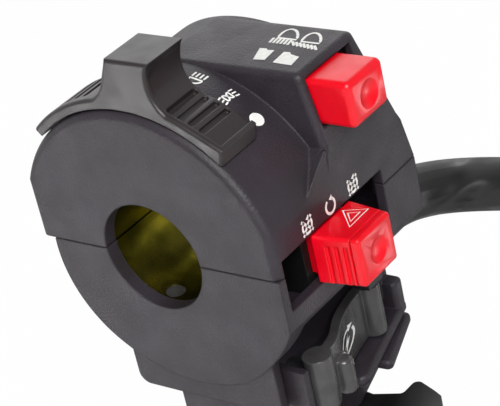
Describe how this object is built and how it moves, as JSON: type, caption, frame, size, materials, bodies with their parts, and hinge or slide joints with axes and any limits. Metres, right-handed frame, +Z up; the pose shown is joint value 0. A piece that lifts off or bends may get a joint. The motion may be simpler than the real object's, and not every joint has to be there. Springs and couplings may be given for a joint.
{
  "type": "motorcycle handlebar switch cluster",
  "caption": "Split clamp-on handlebar switch housing with a light lever, dimmer and stop slides, starter paddle, choke lever and sleeved loom.",
  "frame": {"origin": "on the handlebar bore's axis at the outboard face of the housing", "axes": "+X inboard along the handlebar, -Y towards the rider, +Z up"},
  "size_m": [0.1944, 0.1164, 0.2407],
  "materials": {
    "housing": "fine grain, satin",
    "lever": "semi-gloss",
    "paddle": "semi-gloss",
    "button_red": "satin",
    "liner_zinc": "yellow passivated zinc",
    "peg_metal": "plain",
    "screw_steel": "zinc plated",
    "carriage": "natural acetal",
    "spring_steel": "spring wire",
    "ball_steel": "polished",
    "board": "laminate",
    "loom_sleeve": "soft PVC",
    "grommet": "matt",
    "tie": "nylon",
    "plug": "nylon",
    "terminal_brass": "tinned",
    "choke_black": "black"
  },
  "bodies": {
    "housing": {"upper_shell": "housing", "lower_shell": "housing", "bar_liner_upper": "liner_zinc", "bar_liner_lower": "liner_zinc", "bar_locating_peg": "peg_metal", "shell_screws": "screw_steel", "light_contact_plate": "board", "dimmer_contact_board": "board", "kill_contact_board": "board", "starter_pivot_pin": "screw_steel", "starter_contact_block": "board", "choke_washer": "screw_steel", "choke_pivot_screw": "screw_steel", "loom_grommet": "grommet", "loom_stub": "loom_sleeve", "loom_clamp": "carriage", "loom_clamp_screw": "screw_steel", "loom_lead": "loom_sleeve", "loom_coil": "loom_sleeve", "loom_tie": "tie", "loom_connector": "plug", "loom_terminals": "terminal_brass"},
    "light_lever": {"light_lever": "lever", "light_detent_ball": "ball_steel", "light_detent_spring": "spring_steel"},
    "dimmer": {"dimmer_knob": "button_red", "dimmer_carriage": "carriage", "dimmer_detent_ball": "ball_steel", "dimmer_detent_spring": "spring_steel"},
    "stop_carriage": {"kill_carriage": "carriage", "kill_detent_ball": "ball_steel", "kill_detent_spring": "spring_steel"},
    "hazard_knob": {"hazard_knob": "button_red", "hazard_return_spring": "spring_steel"},
    "starter_paddle": {"starter_paddle": "paddle", "starter_return_spring": "spring_steel"},
    "choke_lever": {"choke_lever": "choke_black"}
  },
  "joints": [
    {"name": "light_turn", "type": "hinge", "parent": "housing", "child": "light_lever", "pos_m": [0.006, 0, 0], "axis": [-1, 0, 0], "range_deg": [0, 26]},
    {"name": "dimmer_slide", "type": "slide", "parent": "housing", "child": "dimmer", "axis": [1, 0, 0], "range_m": [0, 0.0025]},
    {"name": "stop_slide", "type": "slide", "parent": "housing", "child": "stop_carriage", "axis": [1, 0, 0], "range_m": [-0.0078, 0.0078]},
    {"name": "hazard_push", "type": "slide", "parent": "stop_carriage", "child": "hazard_knob", "axis": [0, 1, 0], "range_m": [0, 0.002], "stiffness_N_per_m": 400, "springref_m": -0.002, "deforming": ["hazard_return_spring"]},
    {"name": "starter_press", "type": "hinge", "parent": "housing", "child": "starter_paddle", "pos_m": [0.0354, -0.0194, -0.03], "axis": [0, 0, -1], "range_deg": [0, 5], "stiffness_Nm_per_rad": 0.2, "springref_deg": -5.73, "deforming": ["starter_return_spring"]},
    {"name": "choke_swing", "type": "hinge", "parent": "housing", "child": "choke_lever", "pos_m": [0.024, -0.007, -0.047], "axis": [0, 0, -1], "range_deg": [0, 50]}
  ]
}
